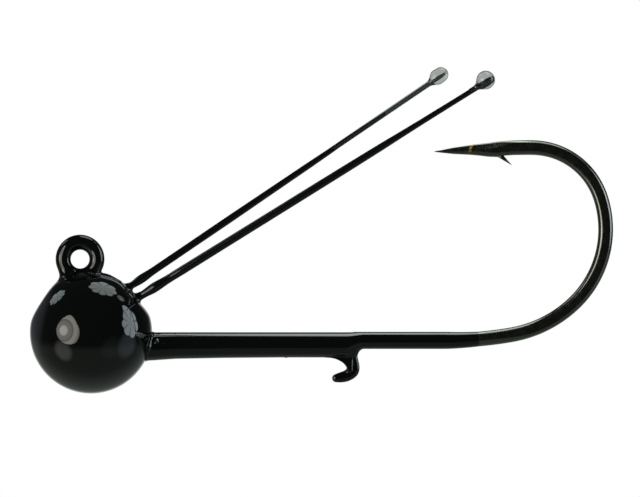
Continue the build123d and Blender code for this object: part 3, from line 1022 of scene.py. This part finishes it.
def add_strip_light(strength):
    """A long soft box close above and behind the shank, which draws the bright line along its enamel."""
    light = bpy.data.lights.new("strip_light", "AREA")
    light.shape = "RECTANGLE"
    light.size, light.size_y = (2 * half * MM for half in STRIP_HALF)
    light.color = linear(STRIP_COLOUR)[:3]
    # an area lamp's power for the wanted radiance
    light.energy = STRIP_RADIANCE * strength * pi * light.size * light.size_y
    lamp = put("strip_light", light)
    toward = Vector(STRIP_TOWARD).normalized()
    across = Vector((1, 0, 0))
    turn = Matrix((across, toward.cross(across), toward)).transposed().to_4x4()
    shank = Vector((STRIP_X, 0, SHANK_Z))
    lamp.matrix_world = Matrix.Translation((shank + toward * STRIP_DISTANCE) * MM) @ turn
    # the ball doesn't see it: only the shank and the hook do
    lit = bpy.data.collections.new("lit_by_strip")
    for name in ("collar_and_keeper", "shank_coat", "hook_wire"):
        lit.objects.link(bpy.data.objects[name])
    lamp.light_linking.receiver_collection = lit


def dim_room():
    """The unlit room as the jig mirrors it: black above and in front, a grey-green table below, a dull backdrop."""
    world = bpy.data.worlds.new("dim_room")
    world.use_nodes = True
    tree = world.node_tree
    tree.nodes.clear()
    way = add_node(tree, "TexCoord").outputs["Generated"]
    light = (0.0, 0.0, 0.0)
    for colour, radiance, direction, start, full in ROOM:
        dot = add_node(tree, "VectorMath", {"operation": "DOT_PRODUCT"}, (way, direction))
        share_lit = add_node(tree, "MapRange", SMOOTH, (dot.outputs["Value"], start, full))
        tone = linear(colour, radiance)[:3]
        patch = add_node(tree, "VectorMath", {"operation": "SCALE"}, {0: tone, "Scale": share_lit})
        light = add_node(tree, "VectorMath", {"operation": "ADD"}, (patch, light))
    background = add_node(tree, "Background", inputs={"Color": light})
    add_node(tree, "OutputWorld", inputs={"Surface": background})
    return world


def show_only(piece, ray):
    """Let one kind of ray see a stage piece."""
    for kind in ("camera", "diffuse", "glossy", "transmission", "volume_scatter", "shadow"):
        setattr(piece, f"visible_{kind}", kind == ray)


def add_dome(name, middle, side_level):
    """A glowing dome round the jig, and its paper. Its level falls to side_level between front and back."""
    material, tree = new_material(f"{name}_paper")
    place = add_node(tree, "TexCoord").outputs["Object"]
    split = add_node(tree, "SeparateXYZ", inputs={"Vector": place})
    depth = add_node(tree, "Math", {"operation": "ABSOLUTE"}, (split.outputs["Y"],))
    level = add_node(tree, "MapRange", SMOOTH, (depth, DOME_R * 0.3, DOME_R * 0.8, side_level, 1.0))
    finish_material(material, add_node(tree, "Emission", inputs={"Strength": level}))
    bm = bmesh.new()
    bmesh.ops.create_icosphere(bm, subdivisions=4, radius=DOME_R, matrix=Matrix.Translation(middle))
    bmesh.ops.reverse_faces(bm, faces=bm.faces)
    show_only(stage_mesh(bm, name, material), "camera" if side_level == 1.0 else "transmission")
    return material


class JIG_OT_studio(bpy.types.Operator):
    """White sweep, dim room, umbrellas and camera"""

    bl_idname = "jig.studio"
    bl_label = "Studio"

    def execute(self, context):
        scene = context.scene
        settings = scene.jig_studio
        scene.view_settings.view_transform = "Standard"
        scene.world = dim_room()
        low, high = CAD_BOUNDS
        middle = (low + high) / 2
        # white sweep: what the camera sees, as a product is cut out on white
        paper = add_dome("sweep", middle, 1.0)
        # what shows through the clear resin: bright before and behind the jig, and dull to its sides
        add_dome("sweep_through_resin", middle, RESIN_SIDE_LEVEL)
        bm = bmesh.new()
        under = Matrix.Translation((middle.x, 0, low.z - FLOOR_DROP))
        bmesh.ops.create_grid(bm, x_segments=1, y_segments=1, size=FLOOR_HALF, matrix=under)
        show_only(stage_mesh(bm, "floor", paper), "camera")
        for name, (direction, half_angle, outline, ribs, radiance, colour) in UMBRELLAS.items():
            add_umbrella(name, direction, half_angle, outline, ribs, radiance * settings.lamp_strength, colour)
        add_strip_light(settings.lamp_strength)
        # camera square to the jig's side, centred a little under its middle
        camera = bpy.data.cameras.new("camera")
        camera.sensor_width = 36.0
        camera.lens = camera.sensor_width * settings.camera_distance / settings.view_width
        camera.clip_start, camera.clip_end = 0.01, 10.0
        holder = put("camera", camera)
        aim = middle + Vector(AIM) * MM
        holder.location = (aim.x, -settings.camera_distance, aim.z)
        holder.rotation_euler = (radians(90), 0, 0)
        scene.camera = holder
        return {"FINISHED"}


class JIG_PT_panel(bpy.types.Panel):
    """Steps that build the jig"""

    bl_idname = "JIG_PT_panel"
    bl_label = "Ball-head jig"
    bl_space_type = "VIEW_3D"
    bl_region_type = "UI"
    bl_category = "Jig"

    def draw(self, context):
        for operator in OPERATORS:
            self.layout.operator(operator.bl_idname)
        for group in SETTINGS:
            settings = getattr(context.scene, group)
            for name in settings.bl_rna.properties.keys():
                if name not in {"rna_type", "name"}:
                    self.layout.prop(settings, name)


SETTINGS = {"jig_enamel": JigEnamel, "jig_hook": JigHook, "jig_guards": JigGuards, "jig_studio": JigStudio}
OPERATORS = (JIG_OT_head, JIG_OT_collar, JIG_OT_hook, JIG_OT_guards, JIG_OT_drops, JIG_OT_studio)
CLASSES = (*SETTINGS.values(), *OPERATORS, JIG_PT_panel)


def register():
    for cls in CLASSES:
        bpy.utils.register_class(cls)
    for name, group in SETTINGS.items():
        setattr(bpy.types.Scene, name, PointerProperty(type=group))


def unregister():
    for name in SETTINGS:
        delattr(bpy.types.Scene, name)
    for cls in reversed(CLASSES):
        bpy.utils.unregister_class(cls)


def main():
    register()
    bpy.ops.jig.head()
    bpy.ops.jig.collar()
    bpy.ops.jig.hook()
    bpy.ops.jig.guards()
    bpy.ops.jig.drops()
    bpy.ops.jig.studio()
    bpy.context.view_layer.update()


if __name__ == "__main__":
    main()
